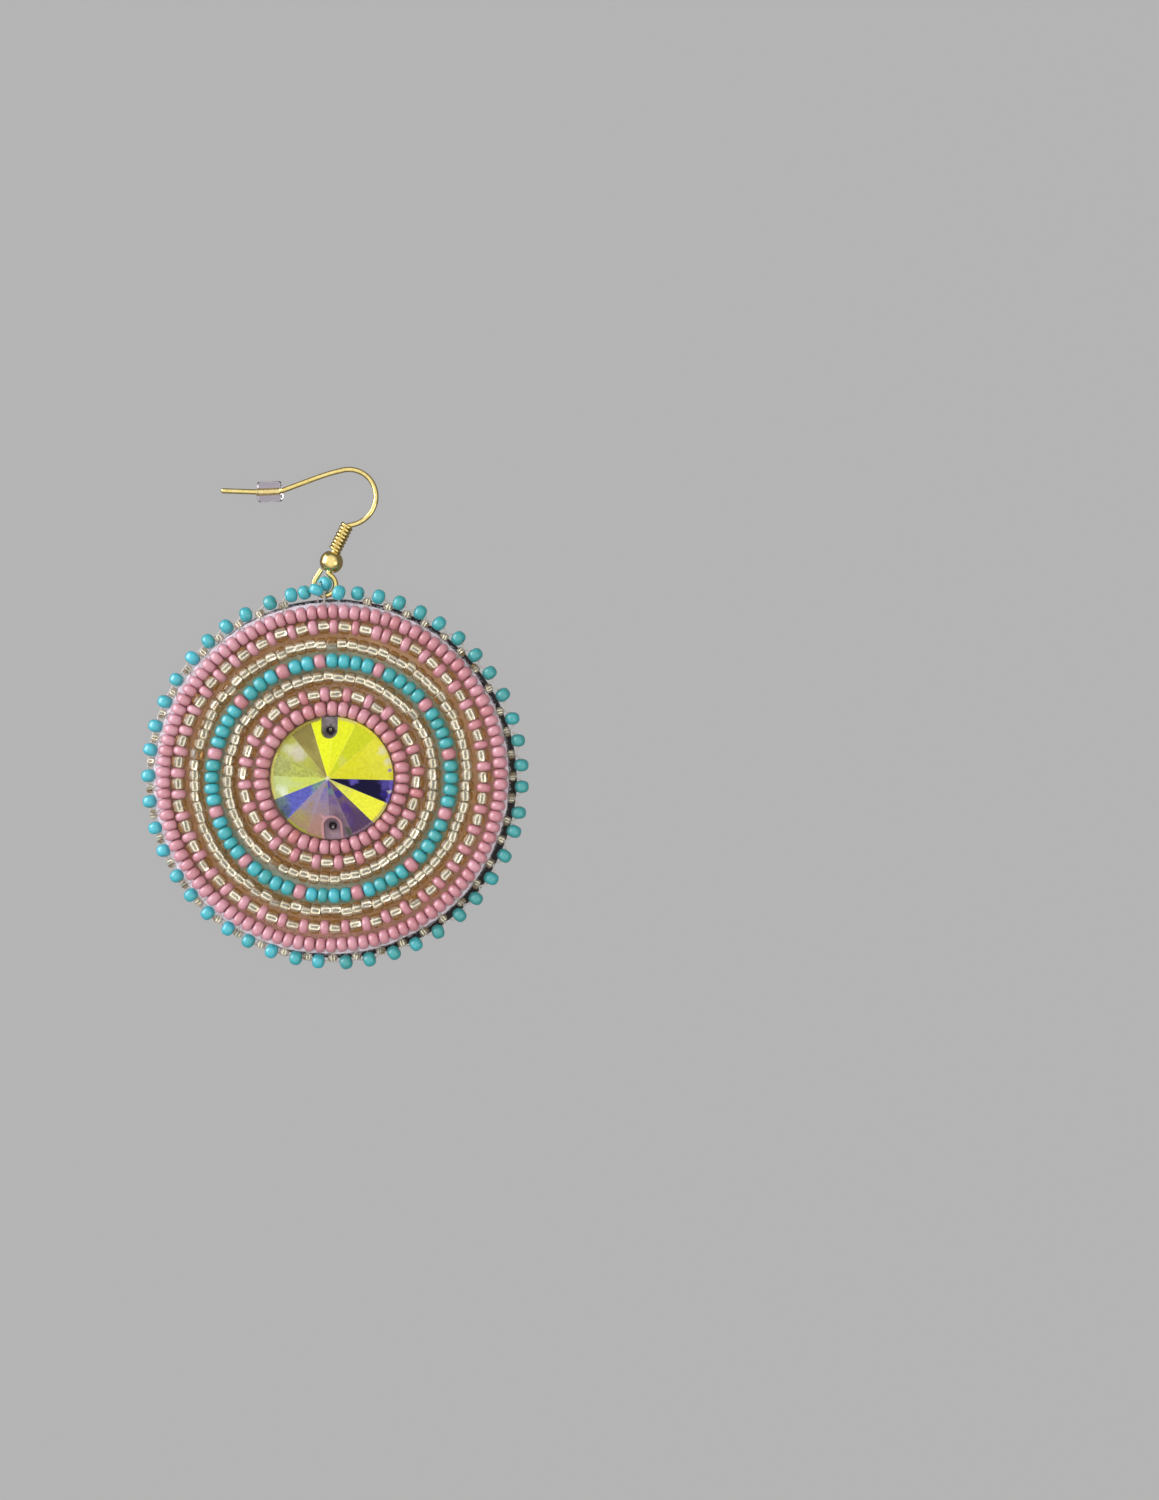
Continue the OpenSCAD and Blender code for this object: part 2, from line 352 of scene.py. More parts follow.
def clothMaterial(name, scale, light, dark, sheen, depth, paintedLight=None):
    material, tree, shader = newMaterial(name, Sheen_Weight=sheen, Sheen_Roughness=0.5)
    matted = useGroup(tree, fibres, Scale=scale, Light=light, Dark=dark)
    rough = wander(tree, Scale=1500.0, Low=0.8, High=0.96)
    colour = matted["Colour"]
    # painted light and shade in rings, multiplied into the fibres' colour
    if paintedLight:
        colour = blend(tree, 1.0, colour, ringColours(tree, paintedLight), "MULTIPLY")
    feed(tree, shader, Base_Color=colour, Roughness=rough,
         Normal=bumpFrom(tree, matted["Height"], strength=0.8, depth=depth))
    return material


pinkGlaze, turquoiseGlaze = glazeMaterial("pinkGlaze"), glazeMaterial("turquoiseGlaze")
amberGlass, silverLining = amberMaterial(), liningMaterial()
goldPlate, clearSilicone, paleNylon = plateMaterial(), siliconeMaterial(), nylonMaterial()
# Painted shade darkens the felt under the stone, and painted light from the beads tints it rosy and green
# inside a pale rim
feltPaintedLight = [(7.9, (0.10, 0.09, 0.10)), (8.7, (1.0, 0.62, 0.52)), (13.0, (1.0, 0.77, 0.56)),
             (14.2, (1.0, 0.72, 0.42)), (15.4, (0.60, 0.62, 0.42)), (16.2, (0.78, 0.95, 0.74)),
             (18.3, (0.78, 0.95, 0.70)), (19.2, (1.0, 0.80, 0.50)), (20.4, (1.0, 0.70, 0.38)),
             (24.3, (1.0, 0.64, 0.52)), (25.0, (0.98, 0.95, 1.0)), (27.0, (0.98, 0.95, 1.0))]
paleFelt = clothMaterial("paleFelt", scale=9000.0, light=(0.90, 0.88, 0.92), dark=(0.78, 0.70, 0.75),
                         sheen=0.2, depth=0.08, paintedLight=feltPaintedLight)
blackSuede = clothMaterial("blackSuede", scale=12000.0, light=(0.055, 0.05, 0.052),
                           dark=(0.012, 0.011, 0.012), sheen=0.4, depth=0.06)
print("materials are mixed")


def addPiece(name, points, faces, material, slot, nodes=(), smooth=True, fields=None):
    mesh = bpy.data.meshes.new(name)
    mesh.from_pydata((np.asarray(points) * mm).tolist(), [], faces)
    mesh.polygons.foreach_set("use_smooth", [smooth] * len(faces))
    for label, values in (fields or {}).items():
        mesh.attributes.new(label, "FLOAT", "POINT").data.foreach_set("value", values)
    mesh.materials.append(material)
    mesh.validate()
    piece = bpy.data.objects.new(name, mesh)
    bpy.context.scene.collection.objects.link(piece)
    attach(piece, "root")
    if nodes:
        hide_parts(*nodes)
    return piece


def turnedShape(outline, around):
    # a closed outline of (along, out) turned about its own X
    turns = np.arange(around) * 2 * math.pi / around
    points = np.array([(x, r * math.cos(a), r * math.sin(a)) for a in turns for x, r in outline])
    count = len(outline)
    faces = [(j * count + i, j * count + (i + 1) % count,
              (j + 1) % around * count + (i + 1) % count, (j + 1) % around * count + i)
             for j in range(around) for i in range(count)]
    return points, faces


# Seed beads, in mm. A higher square number gives flatter ends and sides
beadShapes = {
    "round": {"width": 2.2, "bore": 0.62, "square": 2.7},
    "cut": {"width": 2.14, "bore": 0.52, "square": 4.0, "lining": 0.66},
    "slim": {"width": 2.14, "bore": 0.5, "square": 3.6, "lining": 0.6},
    "stand": {"width": 1.46, "bore": 0.4, "square": 2.8, "lining": 0.46, "amber": 0.72},
    "picot": {"width": 2.2, "bore": 0.62, "square": 2.5},
    "outline": 13, "around": 26, "liningLength": 0.93, "dullSlot": (-0.7, 1),
}


def beadShape(kind):
    # one millimetre long, and its place stretches it: a rounded barrel with a bore along X
    look = beadShapes[kind]
    out, bore, power = look["width"] / 2, look["bore"] / 2, 2 / look["square"]
    start = math.asin((bore / out) ** (1 / power))
    outline = []
    for t in np.linspace(start, math.pi - start, beadShapes["outline"]):
        outline.append((0.5 * math.copysign(abs(math.cos(t)) ** power, math.cos(t)),
                        out * math.sin(t) ** power))
    return turnedShape(outline, beadShapes["around"])


def liningShape(kind):
    # square tube a millimetre long, its sides apart so that each has its own across and along
    half = beadShapes[kind]["lining"] / 2
    points, across, along = [], [], []
    for turn in range(4):
        for x, y in ((-0.5, -1), (0.5, -1), (0.5, 1), (-0.5, 1)):
            points.append(Matrix.Rotation(turn * math.pi / 2, 3, "X") @ Vector((x, y * half, half)))
            across.append(float(y))
            along.append(2.0 * x)
    return np.array(points), [(i, i + 1, i + 2, i + 3) for i in range(0, 16, 4)], across, along


def together(parts):
    points, faces, first = [], [], 0
    for spots, sides in parts:
        points.append(spots)
        faces += [tuple(first + i for i in face) for face in sides]
        first += len(spots)
    return np.concatenate(points), faces


def placed(shape, places):
    return together([(shape[0] @ np.array(place.to_3x3()).T + np.array(place.translation), shape[1])
                     for place in places])


def within(value, limit):
    return max(-limit, min(limit, value))


def beadScale(length, size):
    return Matrix.Diagonal((length, size, size, 1))


def leaning(draw, roll, tilts):
    return (roll, *(draw.gauss(0, tilt) for tilt in tilts))


def strungPlace(azimuth, radius, height, length, lean, size, heading=90.0):
    # a bead with its hole along heading, which is counted from straight out
    a = math.radians(azimuth)
    return (Matrix.Translation((radius * math.cos(a), radius * math.sin(a), height))
            @ Matrix.Rotation(a + math.radians(heading), 4, "Z")
            @ Euler([math.radians(v) for v in lean]).to_matrix().to_4x4()
            @ beadScale(length, size))


def beadsPiece(name, kind, places, shades, material, slot, nodes):
    shape = beadShape(kind)
    side = np.abs(shape[0][:, 1]) * 2 / beadShapes[kind]["width"] * beadShapes[kind].get("amber", 1)
    fields = {"toneAndPaintedLight": np.repeat(shades, len(side)), "side": np.tile(side, len(places))}
    addPiece(name, *placed(shape, places), material, slot, nodes, fields=fields)


def goldBeads(name, kind, places, draw, nodes):
    # amber glass round a bright square lining a little shorter than the bead
    beadsPiece(name + "Glass", kind, places, [0.0] * len(places), amberGlass, "gold_glass", nodes)
    *shape, across, along = liningShape(kind)
    cores = [place @ beadScale(beadShapes["liningLength"], 1) for place in places]
    fields = {"toneAndPaintedLight": np.repeat([draw.uniform(*beadShapes["dullSlot"]) for _ in cores], len(across)),
              "across": across * len(cores), "along": along * len(cores)}
    addPiece(name + "Lining", *placed(shape, cores), silverLining, "gold_glass", nodes, smooth=False,
             fields=fields)


# Rows from the stone out. marks are (bead number, azimuth) between which the beads are evenly spread,
# and share is the part of each pair's length that the first of two colours takes. A stray is how far a
# ring lies out from its circle: all round, towards +X, towards +Y, as an oval and that oval's azimuth.
# Colours are P for pink, T for turquoise and G for gold. mostSpan is the most of its even place that a
# bead takes, and from the first radius of shaded to the second pink beads grow paler by outerPink.
# towardsWindow is a painted light: beads on the window side are painted paler, those away from it deeper
beadRows = {
    "radius": 10.05, "pitch": 2.36, "height": 3.25, "longest": 2.0, "mostSpan": 1.15, "fill": 0.985,
    "stray": (0.07, -0.06, -0.076, 0.2, 24), "strayAt": 24.2, "nearStone": -0.03,
    "seed": 100, "uneven": 0.06, "goldRoll": 14, "lean": (2.5, 3.0), "size": (0.985, 0.02), "shift": 0.05,
    "shade": 0.3, "towardsWindow": {"P": 0.3, "T": 0.4, "G": 0}, "outerPink": 0.45, "shaded": (10, 24),
    "rows": [
        {"count": 40, "marks": [(0, 17.6), (9, 98.7), (10, 109.7), (12, 129.4), (16, 167.7), (40, 377.6)],
         "colours": "P", "lift": 0.2, "stray": (0, 0.03, 0, 0.08, 0)},
        {"count": 48, "marks": [(0, 4.5), (48, 364.5)], "colours": "PG", "share": 0.44, "kind": "slim",
         "stray": (-0.06, -0.06, 0.025, 0.12, 0)},
        {"count": 60, "marks": [(0, 2.0), (60, 362.0)], "colours": "G",
         "stray": (-0.1, -0.075, 0.075, 0.1, 0)},
        {"count": 62,
         "marks": [(0, 11.5), (5, 37.8), (10, 66.5), (15, 95.5), (18, 114.8), (22, 140.1), (27, 168.3),
                   (32, 196.2), (37, 223.7), (42, 254.1), (47, 282.7), (52, 312.8), (57, 342.7),
                   (62, 371.5)],
         "colours": "PTTTT" * 3 + "PTT" + "PTTT" + "PTTTT" * 8, "stray": (-0.01, -0.05, 0.025, 0.06, 0)},
        {"count": 81, "marks": [(0, 1.0), (81, 361.0)], "colours": "G",
         "stray": (-0.01, -0.075, 0.1, 0.04, 0)},
        {"count": 89, "marks": [(0, 72.9), (88, 429.1), (89, 432.9)], "colours": "PG", "share": 0.44,
         "kind": "slim", "stray": (0.1, -0.085, 0.19, 0.06, 0)},
        {"count": 98, "marks": [(0, 1.5), (98, 361.5)], "colours": "P", "stray": (0.05, 0.075, 0.04, 0, 0)},
    ],
}


def azimuthOf(number, marks):
    return float(np.interp(number, [n for n, _ in marks], [a for _, a in marks]))


def strayOf(azimuth, stray):
    grow, x, y, oval, turn = stray
    a = math.radians(azimuth)
    return grow + x * math.cos(a) + y * math.sin(a) + oval * math.cos(2 * (a - math.radians(turn)))


def rowRadius(number, azimuth):
    # the whole disc's stray and the row's own, and the first row stays clear of the stone
    radius = beadRows["radius"] + (number - 1) * beadRows["pitch"]
    stray = strayOf(azimuth, beadRows["stray"]) * radius / beadRows["strayAt"]
    stray += strayOf(azimuth, beadRows["rows"][number - 1]["stray"])
    return radius + (max(beadRows["nearStone"], stray) if number == 1 else stray)


def leftness(azimuth):
    # 1 towards the window, -1 away from it, for the light painted into the beads' tones
    windowAzimuth = 185
    return math.cos(math.radians(azimuth - windowAzimuth))


def beadSpans(row, draw):
    # colour, middle and reach in azimuth of each bead, packed end to end and never quite even
    colours = [row["colours"][i % len(row["colours"])] for i in range(row["count"])]
    halves = [1 - row.get("share", 0.5) if colour == "G" else row.get("share", 0.5) for colour in colours]
    ends = []
    for i, half in enumerate(halves):
        joint = i + half + draw.uniform(-beadRows["uneven"], beadRows["uneven"])
        turns, joint = divmod(joint, row["count"])
        ends.append(azimuthOf(joint, row["marks"]) + 360 * turns)
    starts = [ends[-1] - 360, *ends[:-1]]
    most = beadRows["mostSpan"] * 2
    return [(colour, (start + end) / 2, min(end - start, most * half * 360 / row["count"]))
            for colour, half, start, end in zip(colours, halves, starts, ends)]


def makeRows():
    look, (inner, outer) = beadRows, beadRows["shaded"]
    glazes = {"P": ("Pink", pinkGlaze, "pink_glass"), "T": ("Turquoise", turquoiseGlaze, "turquoise_glass")}
    for number, row in enumerate(look["rows"], 1):
        draw = random.Random(look["seed"] + number)
        found = {"P": ([], []), "T": ([], []), "G": ([], [])}
        for colour, azimuth, reach in beadSpans(row, draw):
            radius = rowRadius(number, azimuth)
            length = min(math.radians(reach) * radius * look["fill"], look["longest"])
            roll = draw.gauss(0, look["goldRoll"]) if colour == "G" else draw.uniform(-180, 180)
            lean = leaning(draw, roll, look["lean"])
            shade = draw.gauss(0, look["shade"])
            # painted light: paler on the window side, deeper away from it
            shade += look["towardsWindow"][colour] * leftness(azimuth) * radius / outer
            shade += look["outerPink"] * (radius - inner) / (outer - inner) if colour == "P" else 0
            out = radius + draw.uniform(0 if number == 1 else -look["shift"], look["shift"])
            height = look["height"] + row.get("lift", 0) - draw.uniform(0, look["shift"])
            size = min(1.0, draw.gauss(*look["size"]))
            places, shades = found[colour]
            places.append(strungPlace(azimuth, out, height, length, lean, size))
            shades.append(within(shade, 1.0))
        nodes = ["bead_row_%d" % number]
        for letter, (name, material, slot) in glazes.items():
            if found[letter][0]:
                beadsPiece("row%d%s" % (number, name), "round", *found[letter], material, slot, nodes)
        if found["G"][0]:
            goldBeads("row%dGold" % number, row.get("kind", "cut"), found["G"][0], draw, nodes)


makeRows()
print("bead rows are sewn")


def tubeRings(path, radii, sides, closed=False):
    # rings square to a path, each turned on from the one before it so that none twists
    path = np.asarray(path, float)
    ahead = np.roll(path, -1, 0) - np.roll(path, 1, 0) if closed else np.gradient(path, axis=0)
    ahead /= np.linalg.norm(ahead, axis=1)[:, None]
    upright = abs(ahead[0][2]) >= 0.9
    side = np.cross(ahead[0], (1.0, 0.0, 0.0) if upright else (0.0, 0.0, 1.0))
    turns = np.arange(sides) * 2 * math.pi / sides
    rings = []
    for spot, way, radius in zip(path, ahead, radii):
        side = side - way * np.dot(side, way)
        side /= np.linalg.norm(side)
        up = np.cross(way, side)
        rings.append(spot + radius * (np.cos(turns)[:, None] * side + np.sin(turns)[:, None] * up))
    return np.concatenate(rings)


def tube(path, radius, sides, closed=False):
    count = len(path)
    radii = [radius] * count if np.isscalar(radius) else radius
    points = tubeRings(path, radii, sides, closed)
    faces = [(i * sides + k, i * sides + (k + 1) % sides,
              (i + 1) % count * sides + (k + 1) % sides, (i + 1) % count * sides + k)
             for i in range(count if closed else count - 1) for k in range(sides)]
    if not closed:
        faces += [tuple(range(sides - 1, -1, -1)), tuple(range((count - 1) * sides, count * sides))]
    return points, faces


def smoothPath(knots, steps):
    # a rounded line through the knots
    knots = [np.asarray(k, float) for k in knots]
    knots = [2 * knots[0] - knots[1], *knots, 2 * knots[-1] - knots[-2]]
    path = []
    for a, b, c, d in zip(knots, knots[1:], knots[2:], knots[3:]):
        for t in np.arange(steps) / steps:
            path.append(0.5 * (2 * b + (c - a) * t + (2 * a - 5 * b + 4 * c - d) * t * t
                               + (3 * b - a - 3 * c + d) * t ** 3))
    return [*path, knots[-2]]


def polar(azimuth, radius, height):
    a = math.radians(azimuth)
    return (radius * math.cos(a), radius * math.sin(a), height)


def pathAlong(start, moves, every):
    # the part's own run of straights (0, length) and bends (radius, turn), as points in a plane
    x, y, heading = start
    points = [(x, y)]
    for radius, amount in moves:
        length = amount if radius == 0 else math.radians(abs(amount)) * radius
        steps = max(1, round(length / every))
        turn = 0 if radius == 0 else math.radians(amount) / steps
        chord = length / steps if radius == 0 else 2 * radius * math.sin(abs(turn) / 2)
        for _ in range(steps):
            x += chord * math.cos(math.radians(heading) + turn / 2)
            y += chord * math.sin(math.radians(heading) + turn / 2)
            heading += math.degrees(turn)
            points.append((x, y))
    return points


# Thread through the rows, round the edge and up through the bead in the eye, which leans to the left.
# Each thread is given as its radius and its number of sides
threadLook = {"row": (0.13, 8), "rowStep": 3, "strand": (0.115, 7), "stitch": (0.06, 7),
              "hanger": (0.075, 10), "hangerGap": 0.1}
loopBead = {"at": (-1.25, 28.3, 1.9), "length": 1.7, "size": 0.99, "lean": 38.0, "shade": 0.6}
hanger = {
    "start": (24.3, 0.93, 0.0),
    "moves": [(0, 3.6), (0.4, 90), (0, 1.25), (0.4, 102), (0, 2.36), (0.35, 78), (0, 1.0)],
    "step": 0.09, "leansFrom": (-1.3, -0.4), "reach": 0.8,
}


def makeRowThread():
    rings = []
    for number, row in enumerate(beadRows["rows"], 1):
        height = beadRows["height"] + row.get("lift", 0)
        path = [polar(a, rowRadius(number, a), height) for a in range(0, 360, threadLook["rowStep"])]
        rings.append(tube(path, *threadLook["row"], closed=True))
    addPiece("rowThread", *together(rings), paleNylon, "beading_thread")


def makeHangerThread():
    # two strands side by side that lean with the loop bead where they pass through it
    x, y, z = loopBead["at"]
    slope = math.tan(math.radians(loopBead["lean"]))
    strands = []
    for side in (-1, 1):
        path = []
        for along, height in pathAlong(hanger["start"], hanger["moves"], hanger["step"]):
            weight = float(np.interp(along, [y + way for way in hanger["leansFrom"]], [0, 1]))
            shift = within(height - z, hanger["reach"]) * slope * weight
            path.append((x - shift + side * threadLook["hangerGap"], along, height))
        strands.append(tube(path, *threadLook["hanger"]))
    addPiece("hangerStrands", *together(strands), paleNylon, "beading_thread", ["hanger_thread"])


def makeLoopBead():
    place = (Matrix.Translation(loopBead["at"])
             @ Matrix.Rotation(math.radians(90 - loopBead["lean"]), 4, "Y")
             @ beadScale(loopBead["length"], loopBead["size"]))
    beadsPiece("loopBead", "picot", [place], [loopBead["shade"]], turquoiseGlaze, "turquoise_glass",
               ["loop_bead"])


makeRowThread()
makeHangerThread()
makeLoopBead()

# Felt and suede, as discs with a soft edge, each a little out of round. The fuzz divided by waveCut and
# by pointCut is the usual size of a wave and of a point's own stray.
discs = {
    "felt": {"radius": 25.6, "stray": (0.21, -0.31, -0.06, 0.175, 21), "low": 1.15, "high": 2.15,
             "fuzz": 0.12, "edge": 0.25, "seed": 5},
    "suede": {"radius": 26.2, "stray": (0.14, 0.32, -0.14, 0.1, -40), "low": 0.0, "high": 1.1,
              "fuzz": 0.06, "edge": 0.3, "seed": 6},
    "ringStep": 0.42, "around": 300, "rimSteps": 9, "waves": (3, 7, 11, 23, 41, 59, 83), "waveFade": 12,
    "waveCut": 3, "pointCut": 5, "lumps": 0.012,
}

# Picot edge: turquoise beads on small gold ones, and two that ride up over the eye's arms. Thread knots
# are (azimuth aside, out, height), where out is from a stand's inner end over the felt, and from the
# middle over the suede. From a raised bead a thread drops beside it and into the felt, at a share of its x.
picotEdge = {
    "count": 47, "radius": 27.1, "height": 1.95, "length": 1.8,
    "stray": (0.0, 0.27, 0.12, 0.13, 0),
    "marks": [(0, 98.8), (1, 103.0), (2, 110.2), (3, 118.0), (6, 139.6), (10, 171.3), (14, 203.9),
              (21, 258.0), (32, 343.1), (35, 363.8), (42, 415.7), (46, 442.6)],
    "crowded": {"azimuth": 101, "width": 9, "out": 0.37},
    "raised": [{"at": (-2.26, 27.27, 3.35), "heading": 65.0, "length": 1.65, "size": 0.97},
               {"at": (0.99, 26.85, 3.3), "heading": -20.0, "length": 1.8, "size": 1.02}],
    "seed": 31, "uneven": 0.25, "lean": (7, 8), "size": (0.98, 0.025), "shift": 0.05, "sunk": 0.08,
    "towardsWindow": 0.8, "shade": 0.25, "raisedShade": 0.5,
    "standOut": 0.52, "standHeight": 1.85, "standLength": 0.98, "leastRoom": 5.5,
    "standRoll": 40, "standLean": (4, 6), "standSize": (0.94, 1.0),
    "holeAside": 1.7, "strandFrom": 0.6,
    "overFelt": [(0, 0.4, 1.85), (0.2, -0.04, 2.1), (0.8, -0.4, 2.2), (1.0, -0.75, 1.9)],
    "overSuede": [(1.1, 26.0, 1.0), (1.1, 26.27, 1.05), (1.2, 26.3, 0.6), (1.3, 26.25, 0.18),
                  (1.4, 25.4, 0.1), (1.5, 24.8, 0.3)],
    "belowRaised": (0.99, -1.2, -0.2), "intoFelt": [(0.97, 25.75, 2.4), (0.97, 25.5, 1.9)],
}


def feltEdge(azimuth):
    return discs["felt"]["radius"] + strayOf(azimuth, discs["felt"]["stray"])


def picotRadius(azimuth):
    crowd = picotEdge["crowded"]
    pushed = crowd["out"] * math.exp(-((azimuth - crowd["azimuth"]) / crowd["width"]) ** 2)
    return picotEdge["radius"] + strayOf(azimuth, picotEdge["stray"]) + pushed


def edgeStrands(here, stand, there):
    # out of the stand bead's hole to the picots on both sides, and over the edges of felt and suede
    look, height, length = picotEdge, picotEdge["standHeight"], picotEdge["standLength"]
    inner = feltEdge(stand) + look["standOut"] - length / 2
    paths = []
    for picot in (here, there):
        hole = picot + math.copysign(look["holeAside"], stand - picot)
        paths.append([polar(stand, inner + length * look["strandFrom"], height),
                      polar(stand, inner + length, height),
                      polar(hole, picotRadius(picot), look["height"])])
    for side in (-1, 1):
        paths.append([polar(stand + turn * side, inner + out, up) for turn, out, up in look["overFelt"]])
    paths.append([polar(stand + turn, radius, up) for turn, radius, up in look["overSuede"]])
    return [smoothPath(path, steps=4) for path in paths]


def makePicots():
    look, draw = picotEdge, random.Random(picotEdge["seed"])
    azimuths = [azimuthOf(i, look["marks"]) + draw.gauss(0, look["uneven"]) for i in range(look["count"])]
    places, shades = [], []
    for azimuth in azimuths:
        lean = leaning(draw, draw.uniform(-180, 180), look["lean"])
        radius = picotRadius(azimuth) - draw.uniform(-look["shift"], look["shift"])
        height = look["height"] - draw.uniform(0, look["sunk"])
        size = min(1.0, draw.gauss(*look["size"]))
        places.append(strungPlace(azimuth, radius, height, look["length"], lean, size))
        # painted light: picots paler on the window side, deeper away from it
        shade = look["towardsWindow"] * leftness(azimuth) + draw.gauss(0, look["shade"])
        shades.append(within(shade, 1.0))
    for bead in look["raised"]:
        turned = Matrix.Rotation(math.radians(bead["heading"]), 4, "Z")
        places.append(Matrix.Translation(bead["at"]) @ turned @ beadScale(bead["length"], bead["size"]))
        shades.append(look["raisedShade"])
    beadsPiece("picotBeads", "picot", places, shades, turquoiseGlaze, "turquoise_glass", ["edge_beads"])
    stands, strands = [], []
    for here, there in zip(azimuths, azimuths[1:]):
        if there - here < look["leastRoom"]:
            continue
        stand = (here + there) / 2 + draw.gauss(0, look["uneven"])
        lean = leaning(draw, draw.uniform(-look["standRoll"], look["standRoll"]), look["standLean"])
        stands.append(strungPlace(stand, feltEdge(stand) + look["standOut"], look["standHeight"],
                                  look["standLength"], lean, draw.uniform(*look["standSize"]), heading=0.0))
        strands += edgeStrands(here, stand, there)
    goldBeads("edging", "stand", stands, draw, ["edge_beads"])
    for bead in look["raised"]:
        # down from the raised bead into the felt
        x, y, z = bead["at"]
        inward, along, down = look["belowRaised"]
        strands.append(smoothPath([(x, y, z), (x * inward, y + along, z + down),
                                   *((x * share, *spot) for share, *spot in look["intoFelt"])], steps=5))
    addPiece("edgeThread", *together([tube(path, *threadLook["strand"]) for path in strands]), paleNylon,
             "beading_thread", ["edge_beads"])


makePicots()
print("picot edge is strung")


def roughDisc(look):
    # a round cut from sheet, its faces a little uneven and its edge rounded and wavy
    draw = np.random.default_rng(look["seed"])
    around = discs["around"]
    low, high, edge, radius = (look[name] for name in ("low", "high", "edge", "radius"))
    inner = np.arange(discs["ringStep"], radius - edge, discs["ringStep"])
    half, middle = (high - low) / 2, (high + low) / 2
    rim = [(radius - edge + edge * math.cos(t), middle + half * math.sin(t))
           for t in np.linspace(math.pi / 2, -math.pi / 2, discs["rimSteps"])]
    outline = [*[(r, high) for r in inner], *rim, *[(r, low) for r in inner[::-1]]]
    turns = np.arange(around) * 2 * math.pi / around
    stray = np.array([strayOf(math.degrees(a), look["stray"]) for a in turns])
    wave = sum(draw.normal(0, look["fuzz"] / discs["waveCut"])
               * np.cos(n * turns + draw.uniform(0, 2 * math.pi)) for n in discs["waves"])
    rings = []
    for r, z in outline:
        out = r + stray * r / radius + wave * (r / radius) ** discs["waveFade"]
        out += draw.normal(0, look["fuzz"] / discs["pointCut"], around)
        up = np.clip(z + draw.normal(0, discs["lumps"], around), low, high)
        rings.append(np.stack([out * np.cos(turns), out * np.sin(turns), up], 1))
    points = np.concatenate([*rings, [[0, 0, high], [0, 0, low]]])
    last, top = (len(outline) - 1) * around, len(points) - 2
    faces = [(i * around + k, (i + 1) * around + k, (i + 1) * around + (k + 1) % around,
              i * around + (k + 1) % around) for i in range(len(outline) - 1) for k in range(around)]
    faces += [(top, k, (k + 1) % around) for k in range(around)]
    faces += [(top + 1, last + (k + 1) % around, last + k) for k in range(around)]
    return points, faces


# Loose fibre ends along the felt's cut edge. clear is their room inside the felt's two faces, and each
# knot after the root is its share of the drift and the reach, and its rise
fringe = {
    "count": 1500, "clear": (0.15, 0.03), "reach": (0.08, 0.42), "root": -0.12, "drift": 0.6,
    "knots": [(0.4, 0.5, 0.05), (1, 0.8, 0.1)], "radii": [0.022, 0.018, 0.008],
}


def makeFringe(disc):
    draw = random.Random(disc["seed"])
    low, high = disc["low"] + fringe["clear"][0], disc["high"] - fringe["clear"][1]
    ends = []
    for _ in range(fringe["count"]):
        azimuth, height = draw.uniform(0, 360), draw.uniform(low, high)
        reach, drift = draw.uniform(*fringe["reach"]), draw.gauss(0, fringe["drift"])
        radius = disc["radius"] + strayOf(azimuth, disc["stray"])
        knots = [(0, fringe["root"], 0)]
        knots += [(drift * aside, reach * out, draw.gauss(0, rise)) for aside, out, rise in fringe["knots"]]
        path = [polar(azimuth + a, radius + r, height + z) for a, r, z in knots]
        ends.append(tube(path, fringe["radii"], sides=4))
    addPiece("feltFringe", *together(ends), paleFelt, "felt")


def makeDiscs():
    for name, material, slot, node, below in (("suede", blackSuede, "suede_back", "backing", []),
                                              ("felt", paleFelt, "felt", "foundation", ["suedeDisc"])):
        look = discs[name]
        disc = addPiece(name + "Disc", *roughDisc(look), material, slot, [node])


makeDiscs()
makeFringe(discs["felt"])
print("felt and suede are cut")

